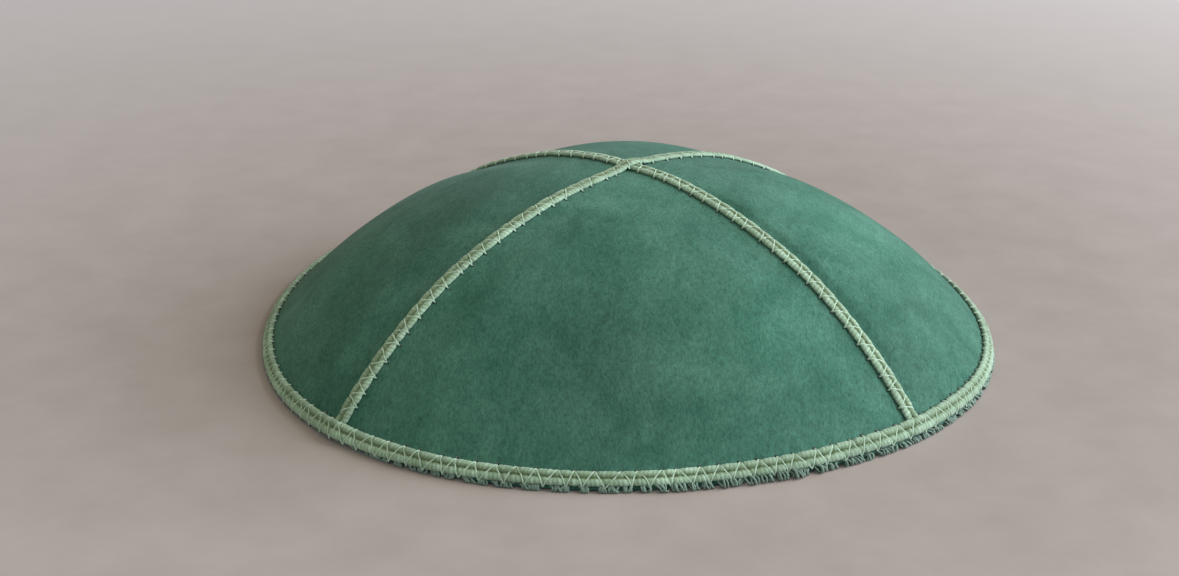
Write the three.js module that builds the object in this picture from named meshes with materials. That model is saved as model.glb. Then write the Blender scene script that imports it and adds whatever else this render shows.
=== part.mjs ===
// Suede skullcap of four panels, its seams and its rim covered with flat braid, lying on its rim.
// Millimetres, +Z up, the middle of the footprint at the origin, the front panel towards -Y.
import * as THREE from 'three';

// Crown, measured on the outside of the suede
const rimRadius = 90;
const crownHeight = 41.2;
const wall = 1.5;
const seamGap = 0.3;

// How the rim departs from a circle: each row is one wave round the rim, in millimetres
const rimWaves = [
  { waves: 1, cosine: -1.22, sine: 0.64 },
  { waves: 2, cosine: 1.51, sine: 0.1 },
  { waves: 3, cosine: 0.52, sine: -0.69 },
  { waves: 4, cosine: -0.69, sine: -0.64 },
];

// Fall of the crown from its top to the rim: height = crownHeight * (1 - share ^ fall) ^ (1 / fullness)
const panelProfile = { fall: 2.3, fullness: 0.98 };
const frontSeamProfile = { fall: 2.29, fullness: 1.14 };
const backSeamProfile = { fall: 2.15, fullness: 1 };
const seamSharpness = 4;

// Shallow furrow that runs beside every seam, faded out at the top and at the rim
const furrow = { depth: 0.6, reach: 7, topFade: 30, rimFade: 0.12 };

// Flat braid with two cords and a groove between them: across the braid, and up from its underside
const braidGap = 0.3;
const braidSection = [
  { across: -1.45, up: 0 },
  { across: 1.45, up: 0 },
  { across: 1.9, up: 0.45 },
  { across: 1.6, up: 1.05 },
  { across: 0.95, up: 1.3 },
  { across: 0.35, up: 1.15 },
  { across: 0, up: 0.85 },
  { across: -0.35, up: 1.15 },
  { across: -0.95, up: 1.3 },
  { across: -1.6, up: 1.05 },
  { across: -1.9, up: 0.45 },
];
const braidHalfWidth = 1.9;

// The rim braid lies up the slope from the suede's edge and humps where a seam braid ends at it
const rimBraidMiddle = 2.9;
const crossingRise = 0.5;
const crossingReach = 4.5;

// Facets
const turnSteps = 24;
const slopeSteps = 16;
const rimSteps = 96;
const braidStep = 4.5;

const suede = { color: 0x3d6656, roughness: 0.95, metalness: 0 };
const braid = { color: 0x749a75, roughness: 0.85, metalness: 0 };

const panels = [
  { name: 'panel_front', middleTurn: -90 },
  { name: 'panel_right', middleTurn: 0 },
  { name: 'panel_back', middleTurn: 90 },
  { name: 'panel_left', middleTurn: 180 },
];

// Seams, as the turn of the half that a braid starts on; the long one goes on over the top
const longSeamTurn = -135;
const shortSeams = [
  { name: 'seam_braid_front_right', turn: -45 },
  { name: 'seam_braid_back_left', turn: 135 },
];

const radians = THREE.MathUtils.degToRad;
const rimSlope = Math.atan((crownHeight * panelProfile.fall) / rimRadius / panelProfile.fullness);

// Distance from the top's axis to the suede's lower edge
function rimReach(turn) {
  let reach = rimRadius;
  for (const row of rimWaves) {
    reach += row.cosine * Math.cos(row.waves * turn) + row.sine * Math.sin(row.waves * turn);
  }
  return reach;
}

function profileHeight(profile, share) {
  const left = Math.max(0, 1 - share ** profile.fall);
  return crownHeight * left ** (1 / profile.fullness);
}

// Depth of the furrow at a distance from the nearest seam
function furrowDepth(share, radius, fromSeam) {
  const ratio = (fromSeam / furrow.reach) ** 2;
  const topFade = Math.min(1, radius / furrow.topFade) ** 2;
  const rimFade = Math.min(1, Math.max(0, 1 - share) / furrow.rimFade);
  return furrow.depth * ratio * Math.exp(1 - ratio) * topFade * rimFade;
}

// Height of the suede's outside over a place given from the top's axis
function suedeHeight(x, y) {
  const radius = Math.hypot(x, y);
  const turn = Math.atan2(y, x);
  const share = radius / rimReach(turn);
  const fromSeam = Math.abs(Math.cos(2 * turn)) * radius / 2;
  const ridge = Math.abs(Math.sin(2 * turn)) ** seamSharpness;
  const seamProfile = y < 0 ? frontSeamProfile : backSeamProfile;
  const onPanel = profileHeight(panelProfile, share) * (1 - ridge);
  const onSeam = profileHeight(seamProfile, share) * ridge;
  return onPanel + onSeam - furrowDepth(share, radius, fromSeam);
}

// Point at a distance straight out from the suede's outside; inwards is negative
function suedePoint(x, y, out) {
  const reach = 0.01;
  const radius = Math.hypot(x, y);
  const inX = radius > reach ? (x / radius) * reach : 0;
  const inY = radius > reach ? (y / radius) * reach : 0;
  const bx = x - inX;
  const by = y - inY;
  const dx = (suedeHeight(bx + reach, by) - suedeHeight(bx - reach, by)) / (2 * reach);
  const dy = (suedeHeight(bx, by + reach) - suedeHeight(bx, by - reach)) / (2 * reach);
  const normal = new THREE.Vector3(-dx, -dy, 1).normalize();
  return new THREE.Vector3(x, y, suedeHeight(x, y)).addScaledVector(normal, out);
}

function polarPoint(radius, turn, out) {
  return suedePoint(radius * Math.cos(turn), radius * Math.sin(turn), out);
}

// Radius at which the wall's inside comes down to the plane that the cap lies on
function insideReach(turn) {
  let low = rimReach(turn) - 4 * wall;
  let high = rimReach(turn);
  for (let i = 0; i < 30; i += 1) {
    const middle = (low + high) / 2;
    if (polarPoint(middle, turn, -wall).z > 0) low = middle;
    else high = middle;
  }
  return low;
}

// Closed body from rings of points, each ring in the same order, the first and last ring capped
function ringsBody(rings, closedLoop) {
  const size = rings[0].length;
  const positions = rings.flat().flatMap((point) => point.toArray());
  const index = [];
  const spans = closedLoop ? rings.length : rings.length - 1;
  for (let i = 0; i < spans; i += 1) {
    const here = i * size;
    const next = ((i + 1) % rings.length) * size;
    for (let k = 0; k < size; k += 1) {
      const after = (k + 1) % size;
      index.push(here + k, here + after, next + k);
      index.push(here + after, next + after, next + k);
    }
  }
  if (!closedLoop) {
    const last = (rings.length - 1) * size;
    const outline = braidSection.map((row) => new THREE.Vector2(row.across, row.up));
    for (const [a, b, c] of THREE.ShapeUtils.triangulateShape(outline, [])) {
      index.push(c, b, a);
      index.push(last + a, last + b, last + c);
    }
  }
  return geometryFrom(positions, index);
}

function geometryFrom(positions, index) {
  const geometry = new THREE.BufferGeometry();
  geometry.setAttribute('position', new THREE.Float32BufferAttribute(positions, 3));
  geometry.setIndex(index);
  geometry.computeVertexNormals();
  return geometry;
}

// One quarter of the crown: an outside and an inside skin, each from a tip near the top down to the rim,
// with a wall along each seam and a flat foot
function panelGeometry(middleTurn) {
  const halfGap = seamGap / 2;
  const tipRadius = halfGap * Math.SQRT2;
  const quarter = Math.PI / 4;
  const positions = [];
  const index = [];

  const addSkin = (out, footReach) => {
    const first = positions.length / 3;
    positions.push(...polarPoint(tipRadius, middleTurn, out).toArray());
    for (let row = 1; row <= slopeSteps; row += 1) {
      const share = row / slopeSteps;
      for (let step = 0; step <= turnSteps; step += 1) {
        const spread = (step / turnSteps) * 2 - 1;
        const foot = footReach(middleTurn + spread * quarter);
        const radius = tipRadius + share * (foot - tipRadius);
        const inset = Math.asin(halfGap / radius);
        const point = polarPoint(radius, middleTurn + spread * (quarter - inset), out);
        if (row === slopeSteps) point.z = 0;
        positions.push(...point.toArray());
      }
    }
    return first;
  };

  const outside = addSkin(0, rimReach);
  const inside = addSkin(-wall, insideReach);
  const at = (skin, row, step) => (row === 0 ? skin : skin + 1 + (row - 1) * (turnSteps + 1) + step);
  const addQuad = (a, b, c, d) => {
    if (a !== b) index.push(a, b, c);
    if (c !== d) index.push(a, c, d);
  };

  for (let row = 0; row < slopeSteps; row += 1) {
    for (let step = 0; step < turnSteps; step += 1) {
      addQuad(at(outside, row, step), at(outside, row + 1, step), at(outside, row + 1, step + 1),
        at(outside, row, step + 1));
      addQuad(at(inside, row, step + 1), at(inside, row + 1, step + 1), at(inside, row + 1, step),
        at(inside, row, step));
    }
  }
  for (let row = 0; row < slopeSteps; row += 1) {
    addQuad(at(inside, row, 0), at(inside, row + 1, 0), at(outside, row + 1, 0), at(outside, row, 0));
    addQuad(at(outside, row, turnSteps), at(outside, row + 1, turnSteps), at(inside, row + 1, turnSteps),
      at(inside, row, turnSteps));
  }
  for (let step = 0; step < turnSteps; step += 1) {
    addQuad(at(outside, slopeSteps, step), at(inside, slopeSteps, step),
      at(inside, slopeSteps, step + 1), at(outside, slopeSteps, step + 1));
  }
  return geometryFrom(positions, index);
}

// Radius on a seam where its braid ends, just clear of the rim braid
function seamEnd(turn) {
  const clear = rimBraidMiddle + braidHalfWidth + 2 * braidGap;
  return rimReach(turn) - clear * Math.cos(rimSlope);
}

// Braid laid along a straight line through the top's axis, from one signed radius to another
function seamBraidGeometry(turn, from, to) {
  const steps = Math.round((to - from) / braidStep);
  const along = new THREE.Vector2(Math.cos(turn), Math.sin(turn));
  const rings = [];
  for (let i = 0; i <= steps; i += 1) {
    const radius = from + ((to - from) * i) / steps;
    rings.push(braidSection.map((row) => suedePoint(
      along.x * radius - along.y * row.across,
      along.y * radius + along.x * row.across,
      braidGap + row.up,
    )));
  }
  return ringsBody(rings, false);
}

// Extra rise of the rim braid near a seam
function crossingHump(turn, reach) {
  const fromSeam = Math.abs(Math.cos(2 * turn)) * reach / 2;
  return crossingRise * Math.exp(-((fromSeam / crossingReach) ** 2));
}

function rimBraidGeometry() {
  const rings = [];
  for (let i = 0; i < rimSteps; i += 1) {
    const turn = (i / rimSteps) * 2 * Math.PI;
    const reach = rimReach(turn);
    const out = braidGap + crossingHump(turn, reach);
    rings.push(braidSection.map((row) => polarPoint(
      reach - (rimBraidMiddle + row.across) * Math.cos(rimSlope),
      turn,
      out + row.up,
    )));
  }
  return ringsBody(rings, true);
}

function addPiece(group, name, geometry, finish) {
  const mesh = new THREE.Mesh(geometry, new THREE.MeshStandardMaterial(finish));
  mesh.name = name;
  group.add(mesh);
}

function makeSkullcap() {
  const group = new THREE.Group();
  for (const panel of panels) {
    addPiece(group, panel.name, panelGeometry(radians(panel.middleTurn)), suede);
  }
  const start = radians(longSeamTurn);
  const end = start + Math.PI;
  addPiece(group, 'seam_braid_long', seamBraidGeometry(end, -seamEnd(start), seamEnd(end)), braid);
  for (const seam of shortSeams) {
    const turn = radians(seam.turn);
    const top = braidHalfWidth + braidGap;
    addPiece(group, seam.name, seamBraidGeometry(turn, top, seamEnd(turn)), braid);
  }
  addPiece(group, 'rim_braid', rimBraidGeometry(), braid);
  const middle = new THREE.Box3().setFromObject(group).getCenter(new THREE.Vector3());
  group.position.set(-middle.x, -middle.y, 0);
  return group;
}

const skullcap = new THREE.Group();
skullcap.add(makeSkullcap());
export default skullcap;
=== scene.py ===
import math

import bmesh
import bpy
import numpy as np
from mathutils import Matrix, Vector


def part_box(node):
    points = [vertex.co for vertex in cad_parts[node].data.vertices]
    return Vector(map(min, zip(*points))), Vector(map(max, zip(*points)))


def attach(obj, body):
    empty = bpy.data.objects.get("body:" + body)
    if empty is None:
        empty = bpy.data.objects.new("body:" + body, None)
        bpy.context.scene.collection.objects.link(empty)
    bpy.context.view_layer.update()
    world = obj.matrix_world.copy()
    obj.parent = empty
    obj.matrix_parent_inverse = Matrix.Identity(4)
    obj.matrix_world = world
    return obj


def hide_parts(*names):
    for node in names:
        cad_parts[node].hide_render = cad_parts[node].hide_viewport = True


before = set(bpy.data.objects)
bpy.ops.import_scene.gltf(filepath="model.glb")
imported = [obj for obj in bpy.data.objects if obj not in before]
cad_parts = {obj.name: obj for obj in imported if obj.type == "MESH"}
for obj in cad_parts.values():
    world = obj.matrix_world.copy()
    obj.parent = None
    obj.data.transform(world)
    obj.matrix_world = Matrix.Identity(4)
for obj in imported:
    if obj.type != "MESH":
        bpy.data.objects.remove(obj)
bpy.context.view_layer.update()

mm = 0.001    # metres in a millimetre; shapes are worked out in millimetres from the top's axis
tiny = 1e-12  # keeps a division by a length from failing

# Crown: the dome that every piece lies on, as the CAD panels have it
crown = {
    "rimRadius": 90.0,
    "height": 41.2,
    "wall": 1.5,
    "footLift": 0.55,  # the suede stands on the threads that wrap its cut edge
    "seamGap": 0.3,
    "rimWaves": (  # the rim is out of round: waves in a turn, cosine, sine
        (1, -1.22, 0.64),
        (2, 1.51, 0.10),
        (3, 0.52, -0.69),
        (4, -0.69, -0.64),
    ),
    "panel": (2.3, 0.98),  # fall and fullness of the dome along a panel's middle
    "frontSeam": (2.29, 1.14),
    "backSeam": (2.15, 1.0),
    "seamSharpness": 4,
    "furrowDepth": 0.6,  # the suede dips beside each seam
    "furrowReach": 7.0,
    "furrowTopFade": 30.0,  # less so towards the top
    "furrowRimFade": 0.12,  # and over this share of the radius at the rim
    "puffRise": 0.9,  # between the seams it stands fuller than the seams hold it
    "puffReach": 8.5,
    "puffTopFade": 32.0,
    "puffRimFade": 0.16,
    "rollRise": 1.3,  # the right panel rolls up from its front seam
    "rollMiddle": 3.7,
    "rollReach": 1.5,
    "rollCrest": 7.0,
    "rollFall": 12.0,
    "rollDip": 0.35,
    "rollDipPlace": 2.6,
    "rollEnd": 8.0,  # degrees round the crown, where the roll has died out
    "rollEndFade": 40.0,
    "softWaves": (  # slow unevenness: wavelength, direction in degrees, phase, height
        (64.0, 20.0, 0.4, 0.16),
        (47.0, 95.0, 2.1, 0.12),
        (38.0, 150.0, 4.4, 0.10),
        (29.0, 60.0, 1.3, 0.07),
        (21.0, 125.0, 5.2, 0.045),
    ),
    "softRimFade": 0.06,
    "slopeStep": 0.01,  # the slope is measured over this distance
}
tipRadius = crown["seamGap"] / 2 * math.sqrt(2)
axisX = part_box("panel_right")[0].x / mm - tipRadius  # where the panels' tips meet
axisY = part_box("panel_back")[0].y / mm - tipRadius
axisShift = np.array([axisX, axisY, 0.0])
rimSlope = math.atan(crown["height"] * crown["panel"][0] / crown["rimRadius"] / crown["panel"][1])


def rimReach(turn):
    reach = np.full(np.shape(turn), crown["rimRadius"])
    for waves, cosine, sine in crown["rimWaves"]:
        reach = reach + cosine * np.cos(waves * turn) + sine * np.sin(waves * turn)
    return reach


def profile(share, fall, fullness):
    return crown["height"] * np.clip(1 - share ** fall, 0, 1) ** (1 / fullness)


def faded(rise, radius, share, topFade, rimFade):  # to nothing at the top and at the rim
    return rise * np.clip(radius / topFade, 0, 1) ** 2 * np.clip((1 - share) / rimFade, 0, 1)


def furrowDepth(fromSeam):
    ratio = (fromSeam / crown["furrowReach"]) ** 2
    return crown["furrowDepth"] * ratio * np.exp(1 - ratio)


def puffRise(fromSeam, turn):
    puff = crown["puffRise"] * (1 - np.clip(np.sin(turn), 0, 1) ** 2)  # the back panel is the flattest
    return puff * (1 - np.exp(-(fromSeam / crown["puffReach"]) ** 2))


def rollRise(fromSeam, turn):
    rolled = 0.5 + 0.5 * np.tanh((fromSeam - crown["rollMiddle"]) / crown["rollReach"])
    pastCrest = np.clip(fromSeam - crown["rollCrest"], 0, None)
    rolled = rolled * np.exp(-(pastCrest / crown["rollFall"]) ** 2)
    dip = crown["rollDip"] / crown["rollRise"]
    rolled = rolled - dip * np.exp(-((fromSeam - crown["rollDipPlace"]) / crown["rollReach"]) ** 2)
    ending = (math.radians(crown["rollEnd"]) - turn) / math.radians(crown["rollEndFade"])
    rolled = rolled * np.clip(ending, 0, 1) * (turn > -math.pi / 4)
    return crown["rollRise"] * rolled


def suedeHeight(x, y):
    radius = np.hypot(x, y)
    turn = np.arctan2(y, x)
    share = radius / rimReach(turn)
    fromSeam = np.abs(np.cos(2 * turn)) * radius / 2
    ridge = np.abs(np.sin(2 * turn)) ** crown["seamSharpness"]
    onSeam = np.where(y < 0, profile(share, *crown["frontSeam"]), profile(share, *crown["backSeam"]))
    height = profile(share, *crown["panel"]) * (1 - ridge) + onSeam * ridge
    furrow, puff, roll = furrowDepth(fromSeam), puffRise(fromSeam, turn), rollRise(fromSeam, turn)
    height = height - faded(furrow, radius, share, crown["furrowTopFade"], crown["furrowRimFade"])
    height = height + faded(puff, radius, share, crown["puffTopFade"], crown["puffRimFade"])
    height = height + faded(roll, radius, share, crown["puffTopFade"], crown["puffRimFade"])
    soft = 0
    for length, heading, phase, rise in crown["softWaves"]:
        along = x * math.cos(math.radians(heading)) + y * math.sin(math.radians(heading))
        soft = soft + rise * np.sin(2 * math.pi * along / length + phase)
    return height + soft * np.clip((1 - share) / crown["softRimFade"], 0, 1)


def unit(vectors, least=0.0):
    return vectors / (np.linalg.norm(vectors, axis=-1, keepdims=True) + least)


def suedePoints(x, y, out):  # points straight out from the suede's outside, and the way out
    x, y, out = np.broadcast_arrays(np.asarray(x, float), y, out)
    step = crown["slopeStep"]
    inward = np.minimum(step / np.maximum(np.hypot(x, y), 1e-6), 1.0)
    nearX, nearY = x * (1 - inward), y * (1 - inward)
    slopeX = (suedeHeight(nearX + step, nearY) - suedeHeight(nearX - step, nearY)) / (2 * step)
    slopeY = (suedeHeight(nearX, nearY + step) - suedeHeight(nearX, nearY - step)) / (2 * step)
    normal = unit(np.stack([-slopeX, -slopeY, np.ones_like(slopeX)], -1))
    points = np.stack([x, y, suedeHeight(x, y)], -1) + normal * out[..., None]
    return points, normal


# Meshes
def gridSheet(columns, rows):  # a flat grid and each vertex's share of the way across and down
    sheet = bmesh.new()
    bmesh.ops.create_grid(sheet, x_segments=columns, y_segments=rows, size=1.0)
    flat = np.array([vertex.co[:] for vertex in sheet.verts])
    return sheet, (flat[:, 0] + 1) / 2, (flat[:, 1] + 1) / 2


def placeVertices(sheet, points):
    for vertex, point in zip(sheet.verts, (points + axisShift) * mm):
        vertex.co = point


def keepValues(sheet, name, values):
    layer = sheet.verts.layers.float.new(name)
    for vertex, value in zip(sheet.verts, values):
        vertex[layer] = float(value)


def joinSheet(sheet, gap, endsOpen=False):
    bmesh.ops.remove_doubles(sheet, verts=sheet.verts, dist=gap * mm)
    if not endsOpen:
        ends = [edge for edge in sheet.edges if edge.is_boundary]
        bmesh.ops.holes_fill(sheet, edges=ends, sides=0)
    bmesh.ops.recalc_face_normals(sheet, faces=sheet.faces)


def addObject(name, data):
    made = bpy.data.objects.new(name, data)
    bpy.context.collection.objects.link(made)
    return made


def addMeshObject(name, sheet, materials):
    mesh = bpy.data.meshes.new(name)
    sheet.to_mesh(mesh)
    sheet.free()
    for material in materials:
        mesh.materials.append(material)
    return addObject(name, mesh)


def finishPiece(name, sheet, materials, replaced=()):
    piece = addMeshObject(name, sheet, materials)
    for face in piece.data.polygons:
        face.use_smooth = True
    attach(piece, "root")
    if replaced:
        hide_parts(*replaced)


# Shader nodes
def newGroup(name, sizeLabel, size, outputs):
    group = bpy.data.node_groups.new(name, "ShaderNodeTree")
    inputs = [("Coordinates", "NodeSocketVector", (0, 0, 0)), (sizeLabel, "NodeSocketFloat", size)]
    for label, kind, default in inputs:
        socket = group.interface.new_socket(name=label, in_out="INPUT", socket_type=kind)
        socket.default_value = default
    for label in outputs:
        group.interface.new_socket(name=label, in_out="OUTPUT", socket_type="NodeSocketFloat")
    return group, group.nodes.new("NodeGroupInput"), group.nodes.new("NodeGroupOutput")


def addNode(tree, kind, values=None, **settings):
    node = tree.nodes.new(kind)
    for key, value in settings.items():
        setattr(node, key, value)
    for key, value in (values or {}).items():
        node.inputs[key].default_value = value
    return node


def feed(tree, socket, value):  # from another node's output, or with a fixed value
    if hasattr(value, "is_output"):
        tree.links.new(value, socket)
    else:
        socket.default_value = value


def mixColours(tree, factor, first, second, blend="MIX"):
    node = addNode(tree, "ShaderNodeMix", data_type="RGBA", blend_type=blend)
    feed(tree, node.inputs[0], factor)
    feed(tree, node.inputs[6], first)
    feed(tree, node.inputs[7], second)
    return node.outputs[2]


def shadeColour(tree, colour, shade):
    return mixColours(tree, 1.0, colour, shade, "MULTIPLY")


def mathNode(tree, operation, *values, clamp=False):
    node = addNode(tree, "ShaderNodeMath", operation=operation, use_clamp=clamp)
    for socket, value in zip(node.inputs, values):
        feed(tree, socket, value)
    return node.outputs[0]


def sumShares(tree, first, second, shares):
    firstPart = mathNode(tree, "MULTIPLY", first, shares[0])
    secondPart = mathNode(tree, "MULTIPLY", second, shares[1])
    return mathNode(tree, "ADD", firstPart, secondPart)


def noiseNode(tree, vector, scale, detail, roughness, distortion=0.0):
    values = {"Detail": detail, "Roughness": roughness, "Distortion": distortion}
    node = addNode(tree, "ShaderNodeTexNoise", values)
    tree.links.new(vector, node.inputs["Vector"])
    feed(tree, node.inputs["Scale"], scale)
    return node.outputs["Fac"]


def rampNode(tree, value, stops):
    node = addNode(tree, "ShaderNodeValToRGB")
    tree.links.new(value, node.inputs["Fac"])
    for element, (place, colour) in zip(node.color_ramp.elements, stops):
        element.position = place
        element.color = colour
    return node.outputs["Color"]


def greyRamp(tree, value, stops):
    return rampNode(tree, value, [(place, (grey, grey, grey, 1.0)) for place, grey in stops])


# Nap: the short fibres of suede, brushed into soft light and dark patches
napLook = {
    "lie": (1.45, 0.7, 0.7),  # the fibres are combed one way, up and down the front
    "broad": (55.0, 3.0, 0.55, 0.6),  # scale, detail, roughness, distortion
    "brushed": (260.0, 3.0, 0.6, 0.7),
    "fine": (1300.0, 4.0, 0.7),
    "hair": (3600.0, 2.0, 0.6),
    "dots": (900.0, 2.0, 0.5),
    "patchShares": (0.62, 0.38),
    "grainShares": (0.6, 0.4),
    "speckFrom": 0.60,  # only the strongest dots show as specks
    "speckContrast": 5.0,
    "brushedHeight": 0.5,
}


def makeNapGroup():
    outputs = ["Patches", "Grain", "Specks", "Height"]
    tree, given, result = newGroup("suedeNap", "Fibre Size", 1.0, outputs)
    coordinates, size = given.outputs["Coordinates"], given.outputs["Fibre Size"]
    combing = addNode(tree, "ShaderNodeVectorMath", {1: napLook["lie"]}, operation="MULTIPLY")
    tree.links.new(coordinates, combing.inputs[0])
    combed = combing.outputs["Vector"]

    def sizedNoise(vector, scale, *grain):
        return noiseNode(tree, vector, mathNode(tree, "MULTIPLY", size, scale), *grain)

    broad = noiseNode(tree, coordinates, *napLook["broad"])
    brushed = noiseNode(tree, combed, *napLook["brushed"])
    fine, hair = sizedNoise(combed, *napLook["fine"]), sizedNoise(combed, *napLook["hair"])
    grain = sumShares(tree, fine, hair, napLook["grainShares"])
    dots = mathNode(tree, "SUBTRACT", sizedNoise(coordinates, *napLook["dots"]), napLook["speckFrom"])
    values = {
        "Patches": sumShares(tree, broad, brushed, napLook["patchShares"]),
        "Grain": grain,
        "Specks": mathNode(tree, "MULTIPLY", dots, napLook["speckContrast"], clamp=True),
        "Height": mathNode(tree, "ADD", mathNode(tree, "MULTIPLY", brushed, napLook["brushedHeight"]), grain),
    }
    for label, value in values.items():
        tree.links.new(value, result.inputs[label])
    return tree


# Yarn: fine cotton fibres on braid and thread
yarnLook = {
    "fibres": (3.0, 0.65, 0.4),  # detail, roughness, distortion
    "drift": (90.0, 2.0, 0.5),  # scale, detail, roughness
    "shares": (0.5, 0.5),
}


def makeYarnGroup():
    tree, given, result = newGroup("cottonYarn", "Fibre Scale", 2600.0, ["Shade", "Height"])
    coordinates = given.outputs["Coordinates"]
    fibres = noiseNode(tree, coordinates, given.outputs["Fibre Scale"], *yarnLook["fibres"])
    drift = noiseNode(tree, coordinates, *yarnLook["drift"])
    tree.links.new(sumShares(tree, fibres, drift, yarnLook["shares"]), result.inputs["Shade"])
    tree.links.new(fibres, result.inputs["Height"])
    return tree


napGroup = makeNapGroup()
yarnGroup = makeYarnGroup()
print("shader groups ready")


# Materials
def newMaterial(name):
    material = bpy.data.materials.new(name)
    material.use_nodes = True
    shader = material.node_tree.nodes["Principled BSDF"]
    return material, material.node_tree, shader


def groupNode(tree, group, label, value):
    node = addNode(tree, "ShaderNodeGroup")
    node.node_tree = group
    coordinates = addNode(tree, "ShaderNodeTexCoord")
    tree.links.new(coordinates.outputs["Object"], node.inputs["Coordinates"])
    node.inputs[label].default_value = value
    return node


def attributeValue(tree, name):
    return addNode(tree, "ShaderNodeAttribute", attribute_name=name).outputs["Fac"]


def finishShader(tree, shader, colour, values):
    tree.links.new(colour, shader.inputs["Base Color"])
    for label, value in values.items():
        shader.inputs[label].default_value = value


def addBump(tree, shader, fibres, strength, distance):
    bump = addNode(tree, "ShaderNodeBump", {"Strength": strength, "Distance": distance})
    tree.links.new(fibres.outputs["Height"], bump.inputs["Height"])
    tree.links.new(bump.outputs["Normal"], shader.inputs["Normal"])


suedeFinish = {
    "patchStops": ((0.33, 0.0), (0.68, 1.0)),  # place on the noise, brightness
    "grainStops": ((0.34, 0.60), (0.64, 1.36)),
    "speck": (0.013, 0.066, 0.046, 1.0),
    "speckShare": 0.5,
    "bumpDistance": 0.00012,
    "shader": {
        "Roughness": 0.92,
        "Sheen Roughness": 0.45,
        "Sheen Tint": (0.80, 1.0, 0.95, 1.0),
        "Specular IOR Level": 0.15,
    },
    "sides": {  # deep, pale, sheen, bump, fibre size, brushed (whether the patches of nap tone with painted light and shade are laid on)
        "suede_outside": ((0.0262, 0.100, 0.0695, 1.0), (0.0655, 0.172, 0.129, 1.0), 0.09, 0.55, 1.0, True),
        "suede_flesh": ((0.030, 0.115, 0.082, 1.0), (0.062, 0.185, 0.140, 1.0), 0.5, 0.8, 0.7, False),
        # the cut edge's own darker suede, also laid on the outside beside the foot as painted shade
        "suede_cut_edge_and_foot_shade": ((0.016, 0.070, 0.050, 1.0), (0.035, 0.120, 0.090, 1.0), 0.2, 0.9, 0.6, False),
    },
}


def suedeMaterial(name, deep, pale, sheen, bump, fibreSize, brushed):
    look = suedeFinish
    material, tree, shader = newMaterial(name)
    nap = groupNode(tree, napGroup, "Fibre Size", fibreSize)
    patches = greyRamp(tree, nap.outputs["Patches"], look["patchStops"])
    colour = mixColours(tree, patches, deep, pale)
    colour = shadeColour(tree, colour, greyRamp(tree, nap.outputs["Grain"], look["grainStops"]))
    specks = mathNode(tree, "MULTIPLY", nap.outputs["Specks"], look["speckShare"])
    colour = mixColours(tree, specks, colour, look["speck"])
    # patches of nap tone with painted light and painted shade, kept on the panels' vertices
    if brushed:
        colour = shadeColour(tree, colour, attributeValue(tree, "napToneAndPaintedLight"))
    finishShader(tree, shader, colour, look["shader"])
    shader.inputs["Sheen Weight"].default_value = sheen
    addBump(tree, shader, nap, bump, look["bumpDistance"])
    return material


def yarnShade(tree, look):
    yarn = groupNode(tree, yarnGroup, "Fibre Scale", look["fibreScale"])
    return yarn, greyRamp(tree, yarn.outputs["Shade"], look["shadeStops"])


braidFinish = {
    "yarn": (0.342, 0.495, 0.380, 1.0),
    "yarnDark": (0.242, 0.372, 0.260, 1.0),
    # painted shade: the dark olive laid into the valley between the cords, into the joints between strands
    # and under the stitches
    "valleyShade": (0.092, 0.142, 0.062, 1.0),
    "fibreScale": 2600.0,
    "shadeStops": ((0.33, 0.68), (0.67, 1.28)),
    "bump": (0.9, 0.0001),  # strength, distance
    "shader": {
        "Roughness": 0.78,
        "Sheen Weight": 0.25,
        "Sheen Roughness": 0.4,
        "Specular IOR Level": 0.25,
    },
}


def braidMaterial():
    material, tree, shader = newMaterial("braid_yarn")
    yarn, shade = yarnShade(tree, braidFinish)
    tone, reliefAndShade = attributeValue(tree, "strandTone"), attributeValue(tree, "strandReliefAndShade")
    colour = mixColours(tree, tone, braidFinish["yarnDark"], braidFinish["yarn"])
    colour = shadeColour(tree, colour, shade)
    # painted shade over the yarn, darkest in the middle valley and the strand joints
    colour = mixColours(tree, reliefAndShade, braidFinish["valleyShade"], colour)
    finishShader(tree, shader, colour, braidFinish["shader"])
    addBump(tree, shader, yarn, *braidFinish["bump"])
    return material


threadFinish = {
    "fibreScale": 4200.0,
    "shadeStops": ((0.3, 0.8), (0.7, 1.2)),
    "bump": (0.4, 0.00004),
    "shader": {"Sheen Weight": 0.25, "Specular IOR Level": 0.3},
    "threads": {  # colour, roughness
        "stitch_thread": ((0.350, 0.500, 0.384, 1.0), 0.7),
        # darker than the stitch thread: painted shade where the thread wraps under the rim's edge
        "edge_thread": ((0.146, 0.230, 0.184, 1.0), 0.85),
        # painted shade: the dark inside each needle hole
        "needle_hole_shade": ((0.006, 0.022, 0.016, 1.0), 0.95),
    },
}


def threadMaterial(name):
    material, tree, shader = newMaterial(name)
    colour, roughness = threadFinish["threads"][name]
    yarn, shade = yarnShade(tree, threadFinish)
    finishShader(tree, shader, shadeColour(tree, colour, shade), threadFinish["shader"])
    shader.inputs["Roughness"].default_value = roughness
    addBump(tree, shader, yarn, *threadFinish["bump"])
    return material


suedeMaterials = [suedeMaterial(name, *side) for name, side in suedeFinish["sides"].items()]
outsideIndex, fleshIndex, edgeIndex = range(len(suedeMaterials))
braidYarn = braidMaterial()
stitchThread, edgeThread, needleHoleShade = (threadMaterial(name) for name in threadFinish["threads"])
print("materials ready")

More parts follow.
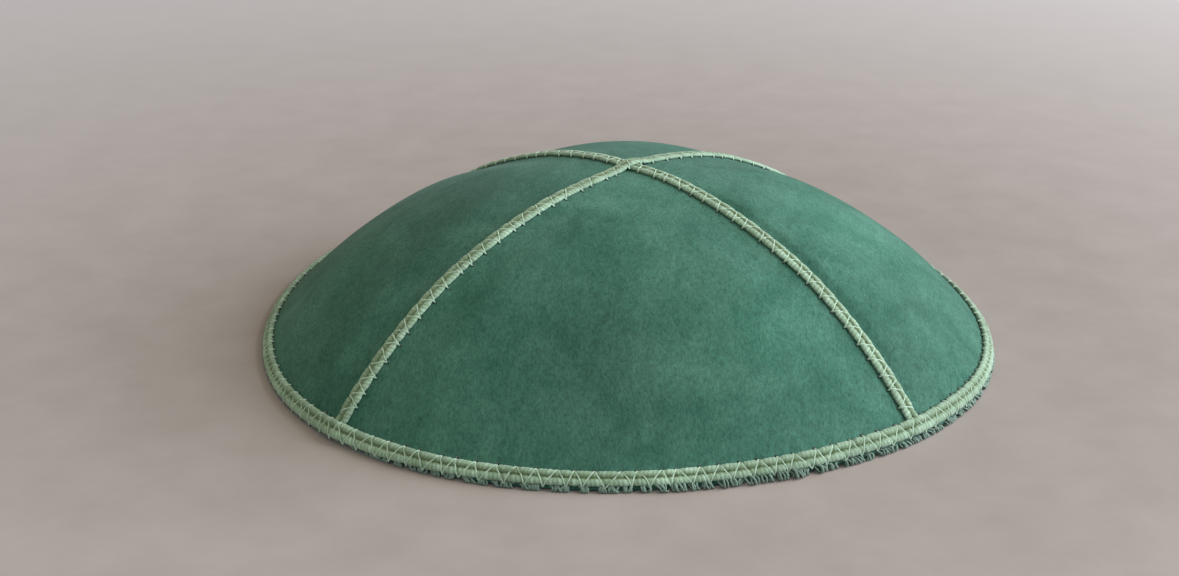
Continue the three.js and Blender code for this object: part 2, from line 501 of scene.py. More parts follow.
# Flat braid: two plump cords side by side, worked over with slanting strands
braidLook = {
    "cordMiddle": 0.92,  # from the middle of the braid to the middle of each cord
    "cordHalf": 1.0,  # half width of a cord
    "cordHeight": 0.62,  # half height of a cord
    "plump": 1.07,  # how far the cords swell between the stitches
    "lift": 0.60,  # height of the cords' middles over the suede
    "lowest": 0.02,
    "overFloor": 0.05,
    "seamFlatness": 0.76,  # the seam braids lie flatter and narrower than the rim's
    "seamWidth": 0.90,
    "rimFlatness": 1.0,
    "rimWidth": 0.83,
    "strandPitch": 0.95,
    "strandSlant": 1.3,  # strands pass this many pitches along in one turn of a cord
    "strandReliefAndShade": 0.09,
    "strandLevel": 0.6,
    "strandSway": 0.05,  # how much the strands differ in height
    "strandShade": (0.2, 0.8),
    "valleyUpper": 1.3,  # how far the painted shade of the middle valley spreads up and down the braid
    "valleyLower": 0.55,
    "stepAlong": 0.19,
    "around": 26,
    "stitchPeriod": 4.3,
    "stitchJitter": 0.16,
    "turnSway": 0.35,
    "press": 0.24,  # how far the stitches press into the cords
    "pressReach": 0.55,
    "pressShade": 0.35,
    "notch": 0.17,  # the needle holes draw the cords' edges in
    "notchReach": 0.75,
    "notchFrom": 0.9,  # beyond this far across, and in full after the next width
    "notchOver": 0.8,
    "notchPressed": 0.5,
    "holeBeyond": 0.3,  # the needle holes lie this far beyond the braid's edge
    "rimMiddle": 3.15,  # up the slope from the cut edge
    "drift": 1.2,  # the rim braid sits nearer the cut edge at the left of the front
    "driftTurn": -153.0,
    "driftSpread": 58.0,
    "crossingRise": 0.75,  # the rim braid passes over the seam braids' ends
    "crossingReach": 4.0,
    "topRise": 0.9,  # the long braid passes over the short ones at the top
    "topReach": 3.6,
    "seamStart": 0.6,  # the short braids start under the long one
    "seamTuck": 0.6,  # and all run on under the rim braid
}
halfWidth = braidLook["cordMiddle"] + braidLook["cordHalf"]
rimMarks = 2881  # places where a braid's length is measured
seamMarks = 600
mergeGap = 0.0005


def hashed(index, salt):  # an even spread of 0 to 1, the same on every run
    return np.mod(np.abs(np.sin(index * 12.9898 + salt * 78.233) * 43758.5453), 1.0)


def uneven(index, salt):
    return hashed(index, salt) - 0.5


def rimMiddle(turn):  # up the slope from the cut edge to the middle of the rim braid
    away = np.mod(np.degrees(turn) - braidLook["driftTurn"] + 180.0, 360.0) - 180.0
    near = np.cos(np.clip(away / braidLook["driftSpread"], -1, 1) * math.pi / 2) ** 2
    return braidLook["rimMiddle"] - braidLook["drift"] * near


def runningLength(x, y):  # along a way, at each of its points
    return np.concatenate([[0.0], np.cumsum(np.hypot(np.diff(x), np.diff(y)))])


class RimPath:  # round the rim, its upper side towards the top of the crown
    closed = True
    flatness, width = braidLook["rimFlatness"], braidLook["rimWidth"]

    def __init__(self):
        self.turns = np.linspace(-1.5 * math.pi, 0.5 * math.pi, rimMarks)  # starts and ends behind
        reach = rimReach(self.turns) - rimMiddle(self.turns) * math.cos(rimSlope)
        self.marks = runningLength(reach * np.cos(self.turns), reach * np.sin(self.turns))
        self.length = self.marks[-1]

    def place(self, along, across, out):
        turn = np.interp(np.mod(along, self.length + 1e-9), self.marks, self.turns)
        radius = rimReach(turn) - (rimMiddle(turn) + across) * math.cos(rimSlope)
        return suedePoints(radius * np.cos(turn), radius * np.sin(turn), out)

    def locate(self, x, y):
        turn = np.mod(np.arctan2(y, x) - self.turns[0], 2 * math.pi) + self.turns[0]
        up = (rimReach(turn) - np.hypot(x, y)) / math.cos(rimSlope)
        return np.interp(turn, self.turns, self.marks), up - rimMiddle(turn)

    def rise(self, along):
        turn = np.interp(along, self.marks, self.turns)
        fromSeam = np.abs(np.cos(2 * turn)) * rimReach(turn) / 2
        return braidLook["crossingRise"] * np.exp(-(fromSeam / braidLook["crossingReach"]) ** 2)


class SeamPath:  # straight over the crown in plan, from one signed radius to another
    closed = False
    flatness, width = braidLook["seamFlatness"], braidLook["seamWidth"]

    def __init__(self, turn, start, end, overTop):
        self.cosine, self.sine, self.overTop = math.cos(turn), math.sin(turn), overTop
        self.radii = np.linspace(start, end, seamMarks)
        heights = suedeHeight(self.radii * self.cosine, self.radii * self.sine)
        self.marks = runningLength(self.radii, heights)
        self.length = self.marks[-1]

    def place(self, along, across, out):
        radius = np.interp(along, self.marks, self.radii)
        x = radius * self.cosine - across * self.sine
        y = radius * self.sine + across * self.cosine
        return suedePoints(x, y, out)

    def locate(self, x, y):
        radius = x * self.cosine + y * self.sine
        across = -x * self.sine + y * self.cosine
        return np.interp(radius, self.radii, self.marks), across

    def rise(self, along):
        radius = np.interp(along, self.marks, self.radii)
        if self.overTop:
            return braidLook["topRise"] * np.exp(-(radius / braidLook["topReach"]) ** 2)
        return np.zeros_like(radius)


def stitchPlaces(path, salt):  # where the zigzag turns, at the braid's upper and lower edges
    count = int(round(path.length / braidLook["stitchPeriod"]))
    index = np.arange(count)
    jitter = uneven(index, salt) * 2 * braidLook["stitchJitter"]
    upper = (index + 0.5 + jitter) * path.length / count
    following = np.append(upper[1:], upper[0] + path.length) if path.closed else upper[1:]
    sway = uneven(index[:len(following)], salt + 5.5) * braidLook["turnSway"]
    lower = (upper[:len(following)] + following) / 2 + sway * path.length / count
    return upper, lower


def gapToStitch(path, along, across):  # along the braid, to the nearest leg and turn of the zigzag
    upper, lower = path.upper, path.lower
    if path.closed:
        tops = np.concatenate([upper[-1:] - path.length, upper, upper[:1] + path.length])
        lows = np.concatenate([lower[-1:] - path.length, lower])
    else:
        period = path.length / len(upper)
        tops = np.concatenate([upper[:1] - period, upper, upper[-1:] + period])
        lows = np.concatenate([upper[:1] - period / 2, lower, upper[-1:] + period / 2])
    index = np.clip(np.searchsorted(tops, along, side="right") - 1, 0, len(tops) - 2)
    top, low, nextTop = tops[index], lows[index], tops[index + 1]
    way = np.clip(across / halfWidth, -1, 1)
    down = top + (low - top) * (1 - way) / 2
    back = low + (nextTop - low) * (1 + way) / 2
    toTop = np.minimum(np.abs(along - top), np.abs(along - nextTop))
    toTurn = np.where(across > 0, toTop, np.abs(along - low))
    return np.minimum(np.abs(along - down), np.abs(along - back)), toTurn


def cordOutline(angle, snug):  # the two cords' common outline, seen from the middle of the braid
    best = np.zeros_like(angle)
    chosen = np.ones_like(angle)
    for side in (1.0, -1.0):
        middle = side * braidLook["cordMiddle"]
        half, height = braidLook["cordHalf"] * snug, braidLook["cordHeight"] * snug
        a = (np.cos(angle) / half) ** 2 + (np.sin(angle) / height) ** 2
        b = middle * np.cos(angle) / half ** 2
        c = (middle / half) ** 2 - 1
        reach = (b + np.sqrt(np.maximum(b * b - a * c, 0))) / a
        chosen = np.where(reach > best, side, chosen)
        best = np.maximum(best, reach)
    return best * np.cos(angle), best * np.sin(angle), chosen


def braidSection(path, along, angle, salt):
    look = braidLook
    across, up, chosen = cordOutline(angle, np.ones_like(angle))
    toLeg, toTurn = gapToStitch(path, along, across)
    press = np.exp(-(toLeg / look["pressReach"]) ** 2)
    outer = np.clip((np.abs(across) - look["notchFrom"]) / look["notchOver"], 0, 1)
    notch = np.exp(-(toTurn / look["notchReach"]) ** 2) * outer
    drawn = look["notch"] * notch * (1 - look["notchPressed"] * press)
    across, up, chosen = cordOutline(angle, look["plump"] - look["press"] * press - drawn)
    fromMiddle = (across - chosen * look["cordMiddle"]) / look["cordHalf"]
    around = np.arctan2(up / look["cordHeight"], fromMiddle)
    slant = chosen * look["strandSlant"] * around / (2 * math.pi)
    phase = along / look["strandPitch"] + slant
    strand = np.floor(phase)
    reliefAndShade = np.sqrt(np.clip(1 - (2 * (phase - strand) - 1) ** 2, 0, 1))
    tone = hashed(strand, salt + chosen * 3.7)
    swell = look["strandReliefAndShade"] * (reliefAndShade - look["strandLevel"])
    swell = swell + look["strandSway"] * (tone - 0.5)
    across = across + swell * np.cos(around)
    up = up + swell * np.sin(around)
    # painted shade: darker towards the valley between the cords, in the joints between strands and where the
    # stitches press
    valleyShade = np.where(across > 0, across / look["valleyUpper"], -across / look["valleyLower"])
    darkest, gain = look["strandShade"]
    shade = (darkest + gain * reliefAndShade) * np.clip(valleyShade, 0, 1) * (1 - look["pressShade"] * press)
    return across, np.maximum(up + look["lift"], look["lowest"]), shade, tone


def sweepTube(name, steps, around, closed, section, material, replaced=()):  # a grid rolled up along a way
    sheet, alongShare, aroundShare = gridSheet(steps, around)
    points, layers = section(alongShare, aroundShare * 2 * math.pi)
    placeVertices(sheet, points)
    for label, values in layers.items():
        keepValues(sheet, label, values)
    joinSheet(sheet, mergeGap, closed)
    finishPiece(name, sheet, [material], replaced)


def makeBraid(name, path, salt, node):
    def section(alongShare, angle):
        along = alongShare * path.length
        across, up, reliefAndShade, tone = braidSection(path, along, angle, salt)
        points, _ = path.place(along, across * path.width, up * path.flatness + path.rise(along))
        points[:, 2] = np.maximum(points[:, 2], braidLook["overFloor"])
        # the strands' painted shade and their own tone are kept on the vertices
        return points, {"strandReliefAndShade": reliefAndShade, "strandTone": tone}

    steps = int(round(path.length / braidLook["stepAlong"]))
    sweepTube(name, steps, braidLook["around"], path.closed, section, braidYarn, [node])


def seamReach(turn):
    return float(rimReach(turn) - (rimMiddle(turn) + braidLook["seamTuck"]) * math.cos(rimSlope))


frontLeft, backRight = math.radians(-135.0), math.radians(45.0)
frontRight, backLeft = math.radians(-45.0), math.radians(135.0)
rimPath = RimPath()
longPath = SeamPath(backRight, -seamReach(frontLeft), seamReach(backRight), True)
frontRightPath = SeamPath(frontRight, braidLook["seamStart"], seamReach(frontRight), False)
backLeftPath = SeamPath(backLeft, braidLook["seamStart"], seamReach(backLeft), False)
braids = {  # path, salt of its unevenness, the solid it dresses
    "rim": (rimPath, 1.0, "rim_braid"),
    "long": (longPath, 2.0, "seam_braid_long"),
    "front_right": (frontRightPath, 3.0, "seam_braid_front_right"),
    "back_left": (backLeftPath, 4.0, "seam_braid_back_left"),
}
for name, (path, salt, node) in braids.items():
    path.upper, path.lower = stitchPlaces(path, salt)
    makeBraid("braid_" + name, path, salt, node)
print("braids ready")


def holeRows(path):  # the needle holes that show: the rim's lower ones are under its edge threads
    return [(path.upper, 1)] if path.closed else [(path.upper, 1), (path.lower, -1)]


# Suede panels
panelLook = {
    "across": 190,  # faces across a panel
    "down": 118,  # faces from the top to the rim
    "rimCrowding": 1.45,  # more than 1 puts the rows closer together near the rim
    "mergeGap": 0.002,
    "edgeRound": 0.7,  # radius of the worn outer corner of the cut edge
    "dentDepth": 0.2,  # the thread pulls a dent into the suede at each needle hole
    "dentReach": 1.0,
    "darkFoot": 1.15,  # painted shade: the suede beside the cut edge takes the cut edge's darker finish up to this height
    "facing": 0.45,  # how squarely a face looks out or in to be outside or flesh side
    "facingRise": 0.03,
    "turns": {"front": -90.0, "right": 0.0, "back": 90.0, "left": 180.0},
    "brushed": (  # patches of tone: partly the nap's own uneven tone, partly painted light where the panels face the window and painted shade beside the front-right seam: x, y, reach, change of tone
        (-74.0, -10.0, 19.0, 0.28),
        (-33.0, -8.0, 14.0, -0.28),
        (-44.0, -28.0, 9.0, -0.14),
        (0.0, -15.0, 13.0, 0.24),
        (-6.0, -65.0, 19.0, -0.29),
        (29.0, -57.0, 10.0, 0.24),
        (54.0, -6.0, 18.0, 0.28),
        (66.0, -28.0, 9.0, -0.12),
        (62.0, -50.0, 8.0, -0.16),
    ),
}


# the patches of nap tone, with painted light and painted shade among them
def napToneAndPaintedLight(x, y):
    tone = np.ones_like(x)
    for middleX, middleY, reach, change in panelLook["brushed"]:
        tone += change * np.exp(-((x - middleX) ** 2 + (y - middleY) ** 2) / reach ** 2)
    return tone


def stitchDents(x, y):
    dent = np.zeros_like(x)
    for path, salt, node in braids.values():
        along, across = path.locate(x, y)
        for places, side in holeRows(path):
            if path.closed:
                places = np.concatenate([places - path.length, places, places + path.length])
            after = np.clip(np.searchsorted(places, along), 1, len(places) - 1)
            gap = np.minimum(np.abs(places[after] - along), np.abs(places[after - 1] - along))
            off = across * side - halfWidth * path.width - braidLook["holeBeyond"]
            dent = np.maximum(dent, np.exp(-(gap ** 2 + off ** 2) / panelLook["dentReach"] ** 2))
    return dent * panelLook["dentDepth"]


def roundedEdge(fromEdge):  # how far the worn corner drops, near the cut edge
    corner = panelLook["edgeRound"]
    inside = np.clip(corner - fromEdge, 0, corner)
    return corner - np.sqrt(np.clip(corner ** 2 - inside ** 2, 0, None))


def panelPlaces(middle, acrossShare, downShare):  # radius, turn and way down the slope to the cut edge
    spread = acrossShare * 2 - 1
    share = 1 - (1 - downShare) ** panelLook["rimCrowding"]
    foot = rimReach(middle + spread * math.pi / 4) - crown["footLift"] / math.tan(rimSlope)
    radius = tipRadius + share * (foot - tipRadius)
    inset = np.arcsin(np.clip(crown["seamGap"] / 2 / radius, 0, 1 / math.sqrt(2)))
    turn = middle + spread * (math.pi / 4 - inset)
    return radius, turn, (foot - radius) / math.cos(rimSlope)


def paintSides(sheet):  # outside, flesh side and cut edge, with painted shade on the outside beside the foot
    sheet.normal_update()
    for face in sheet.faces:
        place = face.calc_center_median()
        outward = Vector((place.x - axisX * mm, place.y - axisY * mm, panelLook["facingRise"])).normalized()
        facing = face.normal.dot(outward)
        # the outside low by the foot gets the cut edge's darker finish as painted shade
        footShade = place.z < panelLook["darkFoot"] * mm
        face.material_index = edgeIndex
        if facing < -panelLook["facing"]:
            face.material_index = fleshIndex
        elif facing > panelLook["facing"] and not footShade:
            face.material_index = outsideIndex


def makePanel(side, middle):
    sheet, acrossShare, downShare = gridSheet(panelLook["across"], panelLook["down"])
    radius, turn, fromEdge = panelPlaces(middle, acrossShare, downShare)
    x, y = radius * np.cos(turn), radius * np.sin(turn)
    points, _ = suedePoints(x, y, -roundedEdge(fromEdge) - stitchDents(x, y))
    placeVertices(sheet, points)
    keepValues(sheet, "napToneAndPaintedLight", napToneAndPaintedLight(x, y))
    joinSheet(sheet, panelLook["mergeGap"], True)
    sheet.normal_update()
    if sum(face.normal.z for face in sheet.faces) < 0:
        bmesh.ops.reverse_faces(sheet, faces=sheet.faces)
    bmesh.ops.solidify(sheet, geom=sheet.faces[:], thickness=crown["wall"] * mm)
    for vertex in sheet.verts:
        vertex.co.z = max(vertex.co.z, crown["footLift"] * mm)  # the foot is cut level
    paintSides(sheet)
    finishPiece("suede_" + side, sheet, suedeMaterials, ["panel_" + side])


for side, turnDegrees in panelLook["turns"].items():
    makePanel(side, math.radians(turnDegrees))
print("suede panels ready")

# Zigzag stitches over the braids
stitchLook = {
    "radius": 0.21,
    "around": 8,
    "perLeg": 12,  # steps on each leg of the zigzag
    "sag": 0.3,  # the legs aren't quite straight
    "reachUp": 0.1,  # how far past the braid's edge the needle goes in
    "rimLower": 0.45,  # the rim's lower turns go down over the cut edge
    "overFloor": 0.03,
    "heights": (  # across the braid, height over the suede, height on the rim's lower side
        (0.0, 0.87, 0.87),
        (0.3, 0.92, 0.92),
        (0.92, 0.995, 0.995),
        (1.4, 0.875, 0.895),
        (1.7, 0.6, 0.7),
        (1.85, 0.28, 0.52),
        (1.95, -0.02, 0.4),
        (2.1, -0.3, 0.28),
        (3.0, -0.35, 0.2),
    ),
    "underRadius": 0.14,  # the plain under thread shows as a smaller zigzag on the inside
    "underAround": 6,
    "underWidth": 0.8,
    "underGap": 0.05,
}


def zigzagPoints(path):
    look = stitchLook
    shares = np.linspace(0, 1, look["perLeg"], endpoint=False)
    alongs, ways = [], []
    for index, low in enumerate(path.lower):
        top = path.upper[index]
        following = path.upper[index + 1] if index + 1 < len(path.upper) else path.upper[0] + path.length
        for start, end, direction in ((top, low, -1), (low, following, 1)):
            alongs.append(start + (end - start) * shares)
            ways.append(-direction + 2 * direction * shares)
    if path.closed:
        alongs.append(np.array([path.upper[0] + path.length]))
        ways.append(np.array([1.0]))
    along, way = np.concatenate(alongs), np.concatenate(ways)
    leg = np.arange(len(way)) // look["perLeg"]
    bend = uneven(leg, 31.0) * 2 * look["sag"]
    along = along + bend * (1 - way ** 2)
    upperEdge = halfWidth + look["reachUp"]
    lowerEdge = halfWidth + (look["rimLower"] if path.closed else look["reachUp"])
    across = np.where(way > 0, way * upperEdge, way * lowerEdge)
    places, heights, rimHeights = np.transpose(look["heights"])
    out = np.interp(np.abs(across), places, heights)
    if path.closed:
        out = np.where(way < 0, np.interp(np.abs(across), places, rimHeights), out)
    return along, across, out


def makeThread(name, points, normals, radius, around, closed):
    tangents = np.gradient(points, axis=0)
    if closed:
        tangents[0] = tangents[-1] = points[1] - points[-2]
        normals[-1] = normals[0]
    tangents = unit(tangents, tiny)
    side = unit(np.cross(tangents, normals), tiny)
    up = np.cross(side, tangents)
    last = len(points) - 1

    def section(alongShare, angle):
        index = np.clip(np.round(alongShare * last).astype(int), 0, last)
        ring = side[index] * np.cos(angle)[:, None] + up[index] * np.sin(angle)[:, None]
        placed = points[index] + ring * radius
        placed[:, 2] = np.maximum(placed[:, 2], stitchLook["overFloor"])
        return placed, {}

    sweepTube(name, last, around, closed, section, stitchThread)


def makeStitches(name, path):
    along, across, out = zigzagPoints(path)
    out = np.where(out > 0, out * path.flatness, out)
    out = out + path.rise(np.mod(along, path.length) if path.closed else along)
    points, normals = path.place(along, across * path.width, out)
    makeThread("stitches_" + name, points, normals, stitchLook["radius"], stitchLook["around"], path.closed)
    if path.closed:
        return
    inside = -crown["wall"] - stitchLook["underGap"]
    points, normals = path.place(along, across * stitchLook["underWidth"], inside)
    makeThread("under_" + name, points, normals, stitchLook["underRadius"], stitchLook["underAround"], False)


for name, (path, salt, node) in braids.items():
    makeStitches(name, path)
print("stitches ready")

# Needle holes along the braids' edges: dark discs, the painted shade inside each hole
holeLook = {
    "radius": 0.36,
    "smallest": 0.7,  # of the radius, and how much more the largest have
    "spread": 0.6,
    "thickness": 0.06,
    "proud": 0.03,  # over the bottom of the dent
}


def addNeedleHole(sheet, place, normal, radius):
    made = bmesh.ops.create_icosphere(sheet, subdivisions=1, radius=1.0)["verts"]
    bmesh.ops.scale(sheet, verts=made, vec=(radius * mm, radius * mm, holeLook["thickness"] * mm))
    turned = Vector(normal).to_track_quat("Z", "Y").to_matrix()
    bmesh.ops.rotate(sheet, verts=made, cent=(0, 0, 0), matrix=turned)
    bmesh.ops.translate(sheet, verts=made, vec=(place + axisShift) * mm)


def makeNeedleHoles():
    sheet = bmesh.new()
    for path, salt, node in braids.values():
        for places, side in holeRows(path):
            across = side * (halfWidth * path.width + braidLook["holeBeyond"])
            out = holeLook["proud"] - panelLook["dentDepth"]
            points, normals = path.place(places, across, out)
            sizes = holeLook["smallest"] + holeLook["spread"] * hashed(np.arange(len(places)), salt + 9)
            for point, normal, size in zip(points, normals, sizes):
                addNeedleHole(sheet, point, normal, holeLook["radius"] * float(size))
    finishPiece("needle_hole_shades", sheet, [needleHoleShade])


makeNeedleHoles()
print("needle holes ready")

# Edge threads: bunches of thread wrapped round the cut edge of the rim
edgeLook = {
    "bunch": 3.1,  # from one bunch to the next
    "bunchScatter": 0.8,
    "bunchPlaces": (  # where the bunches stand out: turn in degrees, spread in radians, strength
        (-72.0, 0.38, 1.0),
        (120.0, 0.6, 0.6),
    ),
    "quiet": 0.1,  # how much they stand out elsewhere
    "strengthScatter": 1.1,
    "strands": 5,
    "outerStrand": 0.66,  # the first and last strand of a bunch stand out less
    "stray": 0.8,
    "strandGap": 0.40,
    "gapScatter": 0.9,
    "strandScatter": 0.7,
    "radius": 0.235,
    "radiusLevel": 0.95,
    "radiusScatter": 0.6,
    "endRadius": 0.4,
    "flat": 1.15,  # a strand is this much wider than thick
    "slant": 1.3,  # how far along a strand moves as it goes round the edge
    "tangle": 3.4,  # how much the slant varies
    "curl": 0.26,
    "curls": 2.2,
    "steps": 14,
    "around": 5,
    "overFloor": 0.03,
    "outside": (  # corners outside: up the slope, more if proud, off the suede, more if proud
        (0.8, 0.4, -0.1, 0.1),
        (0.62, 0.32, 0.2, 0.35),
        (0.28, 0.0, 0.28, 0.6),
    ),
    "lip": (0.16, 0.55, -0.16),  # corner at the foot: out, more if proud, up
    "under": (0.35, 0.3),  # corners under the foot: in from its outer side, out from its inner one
    "underLift": 0.05,
    "underSquash": 0.6,
    "innerLip": (-0.22, 0.05),
    "inside": (  # corners inside: up the slope, more by chance, off the suede
        (0.9, 0.0, -0.18),
        (1.6, 0.5, 0.1),
    ),
}
uphill = np.array([-math.cos(rimSlope), math.sin(rimSlope)])
offSuede = np.array([math.sin(rimSlope), math.cos(rimSlope)])


def bunchStrength(turn):
    strengths = []
    for middle, spread, strength in edgeLook["bunchPlaces"]:
        away = np.mod(turn - math.radians(middle) + math.pi, 2 * math.pi) - math.pi
        strengths.append(strength * np.exp(-(away / spread) ** 2))
    return float(edgeLook["quiet"] + (1 - edgeLook["quiet"]) * max(strengths))


def smoothThrough(corners, count):  # a smooth curve through a row of corners
    shares = np.linspace(0, len(corners) - 1.0001, count)
    start = np.floor(shares).astype(int)
    t = (shares - start)[:, None]
    padded = np.concatenate([2 * corners[:1] - corners[1:2], corners, 2 * corners[-1:] - corners[-2:-1]])
    p0, p1, p2, p3 = padded[start], padded[start + 1], padded[start + 2], padded[start + 3]
    square = 2 * p0 - 5 * p1 + 4 * p2 - p3
    cube = 3 * p1 - p0 - 3 * p2 + p3
    return 0.5 * (2 * p1 + (p2 - p0) * t + square * t ** 2 + cube * t ** 3)


def wrapCorners(foot, proud, wobble):  # down the outside, under the foot and up the inside
    look = edgeLook
    outer = np.array([foot, crown["footLift"]])
    inner = outer - np.array([crown["wall"] / math.sin(rimSlope), 0.0])
    low = look["underLift"] + look["radius"] * look["underSquash"]
    corners = []
    for up, upProud, off, offProud in look["outside"]:
        corners.append(outer + uphill * (up + upProud * proud) + offSuede * (off + offProud * proud))
    lipOut, lipProud, lipUp = look["lip"]
    corners.append(outer + np.array([lipOut + lipProud * proud, lipUp]))
    corners.append(np.array([outer[0] - look["under"][0], low]))
    corners.append(np.array([inner[0] + look["under"][1], low]))
    corners.append(inner + np.array(look["innerLip"]))
    for up, upWobble, off in look["inside"]:
        corners.append(inner + uphill * (up + upWobble * wobble) + offSuede * off)
    return np.array(corners)


def addStrand(sheet, points, turn, radius):  # a thin tube along the points, beside the rim at this turn
    steps = edgeLook["steps"]
    tangents = unit(np.gradient(points, axis=0))
    facing = unit(np.cross(tangents, np.array([-math.sin(turn), math.cos(turn), 0.0])))
    beside = np.cross(facing, tangents)
    made = bmesh.ops.create_grid(sheet, x_segments=steps, y_segments=edgeLook["around"], size=1.0)["verts"]
    for vertex in made:
        step = int(round((vertex.co.x + 1) / 2 * steps))
        angle = (vertex.co.y + 1) * math.pi
        thick = radius * (1.0 if 0 < step < steps else edgeLook["endRadius"])
        ring = beside[step] * math.cos(angle) * edgeLook["flat"] + facing[step] * math.sin(angle)
        place = points[step] + ring * thick
        place[2] = max(place[2], edgeLook["overFloor"])
        vertex.co = (place + axisShift) * mm


def makeEdgeThreads():
    look = edgeLook
    sheet = bmesh.new()
    strands = look["strands"]
    bunches = int(round(rimPath.length / look["bunch"]))
    way = np.linspace(0.0, 1.0, look["steps"] + 1)
    for index in range(bunches * strands):
        bunch, strand = divmod(index, strands)
        jitter, wobble, stray = uneven(bunch, 21.0), uneven(index, 22.0), uneven(index, 23.0)
        gap = look["strandGap"] * (1 + look["gapScatter"] * jitter)
        along = (bunch + 0.5 + look["bunchScatter"] * jitter) * rimPath.length / bunches
        along += (strand - (strands - 1) / 2) * gap + look["strandScatter"] * wobble
        turn = float(np.interp(along, rimPath.marks, rimPath.turns))
        strength = bunchStrength(turn) * (1 + look["strengthScatter"] * jitter)
        middle = 1.0 if 0 < strand < strands - 1 else look["outerStrand"]
        proud = strength * (middle + look["stray"] * stray)
        foot = float(rimReach(turn)) - crown["footLift"] / math.tan(rimSlope)
        rail = smoothThrough(wrapCorners(foot, proud, wobble), len(way))
        slant = look["slant"] + look["tangle"] * (jitter + stray)
        curl = look["curl"] * np.sin(2 * math.pi * (look["curls"] * way + wobble + stray))
        turns = turn + ((way - 0.5) * slant + curl) / foot
        points = np.stack([rail[:, 0] * np.cos(turns), rail[:, 0] * np.sin(turns), rail[:, 1]], -1)
        radius = look["radius"] * (look["radiusLevel"] + look["radiusScatter"] * wobble)
        addStrand(sheet, points, turn, radius)
    joinSheet(sheet, mergeGap)
    finishPiece("edge_threads", sheet, [edgeThread])


makeEdgeThreads()
print("edge threads ready")

# Camera
view = {
    "distance": 405.0,
    "elevation": 24.27,
    "turn": -90.94,
    "aim": (1.440, 1.157, -0.764),  # turned left, up and rolled from looking at the foot of the top's axis
    "focal": 1585.95,  # in picture elements of the photograph
    "photoWidth": 1179.0,
    "sensor": 36.0,
    "clip": (0.01, 20.0),
}


def direction(turnDegrees, elevationDegrees):
    turn, elevation = math.radians(turnDegrees), math.radians(elevationDegrees)
    level = math.cos(elevation)
    return Vector((level * math.cos(turn), level * math.sin(turn), math.sin(elevation)))


def makeCamera():
    back = direction(view["turn"], view["elevation"])
    place = (Vector((axisX, axisY, 0.0)) + back * view["distance"]) * mm
    forward = -back
    right = forward.cross(Vector((0, 0, 1))).normalized()
    up = right.cross(forward)
    yaw, pitch, roll = (math.radians(angle) for angle in view["aim"])
    turned = Matrix.Rotation(yaw, 3, up)
    forward, right = turned @ forward, turned @ right
    tipped = Matrix.Rotation(pitch, 3, right)
    forward, up = tipped @ forward, tipped @ up
    rolled = Matrix.Rotation(roll, 3, forward)
    right, up = rolled @ right, rolled @ up
    camera = bpy.data.cameras.new("camera")
    camera.sensor_width = view["sensor"]
    camera.lens = view["focal"] / view["photoWidth"] * view["sensor"]
    camera.clip_start, camera.clip_end = view["clip"]
    holder = addObject("camera", camera)
    cameraAxes = Matrix((right, up, -forward)).transposed()
    holder.matrix_world = Matrix.Translation(place) @ cameraAxes.to_4x4()
    bpy.context.scene.camera = holder


# Floor: plain and pale, paler away from the object on every side and less so at its own edge
floorLook = {  # metres
    "radius": 1.2,
    "segments": 96,
    "sink": 0.00003,
    "grain": (60.0, 5.0, 0.6),
    "grainStops": (
        (0.35, (0.305, 0.270, 0.252, 1.0)),
        (0.65, (0.332, 0.296, 0.279, 1.0)),
    ),
    "pale": (0.60, 0.57, 0.585, 1.0),
    "paleFrom": 0.12,
    "paleOver": 0.42,
    "fadeFrom": 0.45,
    "fadeOver": 0.62,
    "fade": 0.75,
    "shader": {"Roughness": 0.9, "Specular IOR Level": 0.2},
}


def shareBeyond(tree, distance, start, over):
    return mathNode(tree, "DIVIDE", mathNode(tree, "SUBTRACT", distance, start), over, clamp=True)


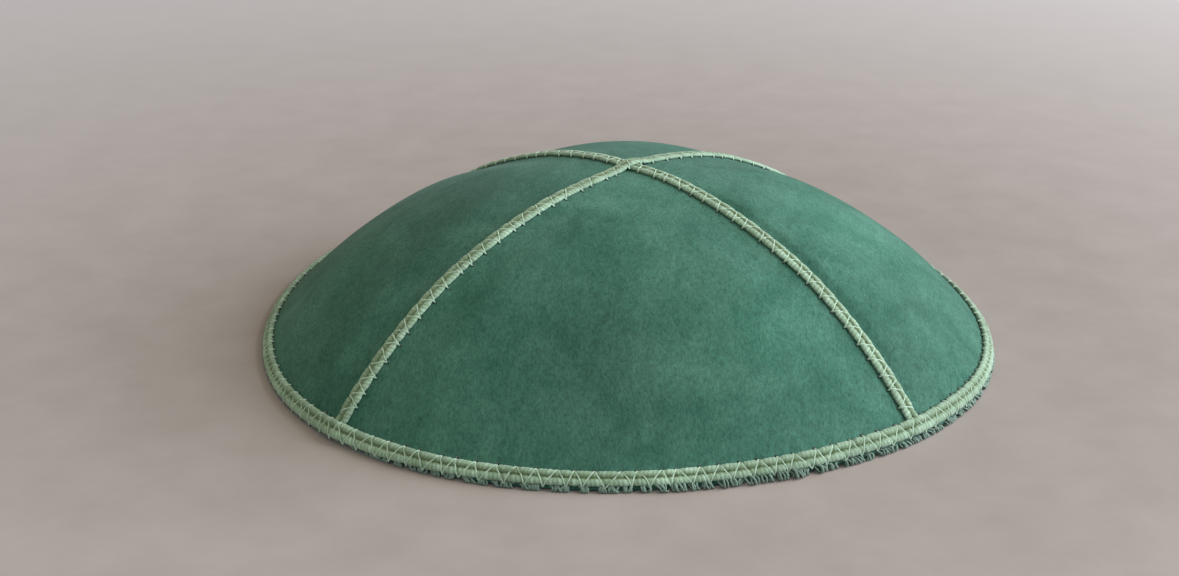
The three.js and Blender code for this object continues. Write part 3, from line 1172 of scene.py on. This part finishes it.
def floorMaterial():
    look = floorLook
    material, tree, shader = newMaterial("pale_floor")
    coordinates = addNode(tree, "ShaderNodeTexCoord")
    grain = noiseNode(tree, coordinates.outputs["Object"], *look["grain"])
    colour = rampNode(tree, grain, look["grainStops"])
    reach = addNode(tree, "ShaderNodeVectorMath", operation="LENGTH")
    tree.links.new(coordinates.outputs["Object"], reach.inputs[0])
    distance = reach.outputs["Value"]
    away = shareBeyond(tree, distance, look["paleFrom"], look["paleOver"])
    beyond = shareBeyond(tree, distance, look["fadeFrom"], look["fadeOver"])
    kept = mathNode(tree, "SUBTRACT", 1.0, mathNode(tree, "MULTIPLY", beyond, look["fade"]))
    colour = mixColours(tree, mathNode(tree, "MULTIPLY", away, kept), colour, look["pale"])
    finishShader(tree, shader, colour, look["shader"])
    return material


def makeFloor():
    sheet = bmesh.new()
    bmesh.ops.create_circle(sheet, cap_ends=True, segments=floorLook["segments"], radius=floorLook["radius"])
    bmesh.ops.translate(sheet, verts=sheet.verts, vec=(0, 0, -floorLook["sink"]))
    floor = addMeshObject("floor", sheet, [floorMaterial()])


# Lamps
lampLook = {  # turn, elevation, distance, width, height, power, colour
    "window": (4.0, 27.0, 2.8, 3.2, 2.3, 167.0, (0.90, 0.94, 1.0)),
    "ceiling": (-30.0, 72.0, 1.1, 1.0, 1.0, 4.2, (1.0, 0.80, 0.52)),
    "room": (-102.0, 38.0, 1.1, 1.2, 1.2, 4.5, (0.80, 0.93, 1.0)),
    "glow": (200.0, 18.0, 1.1, 1.0, 0.6, 1.55, (1.0, 0.76, 0.34)),
}
surroundLook = {
    "colour": (1.0, 0.97, 0.95, 1.0),
    "light": 0.04,  # it adds little light
    "seen": 0.55,  # and is this much paler seen directly
}


def makeLamps():
    for name, (turn, elevation, distance, width, height, power, colour) in lampLook.items():
        light = bpy.data.lights.new(name, "AREA")
        light.shape = "ELLIPSE"
        light.size, light.size_y = width, height
        light.energy = power
        light.color = colour
        toward = direction(turn, elevation)
        holder = addObject(name, light)
        holder.location = toward * distance
        holder.rotation_euler = toward.to_track_quat("Z", "Y").to_euler()


def makeSurround():
    world = bpy.data.worlds.new("studio")
    world.use_nodes = True
    tree = world.node_tree
    backdrop = tree.nodes["Background"]
    backdrop.inputs["Color"].default_value = surroundLook["colour"]
    seen = addNode(tree, "ShaderNodeLightPath").outputs["Is Camera Ray"]
    strength = mathNode(tree, "MULTIPLY_ADD", seen, surroundLook["seen"], surroundLook["light"])
    tree.links.new(strength, backdrop.inputs["Strength"])
    bpy.context.scene.world = world
    bpy.context.scene.view_settings.view_transform = "Standard"


makeCamera()
makeFloor()
makeLamps()
makeSurround()
print("camera, floor and light ready")
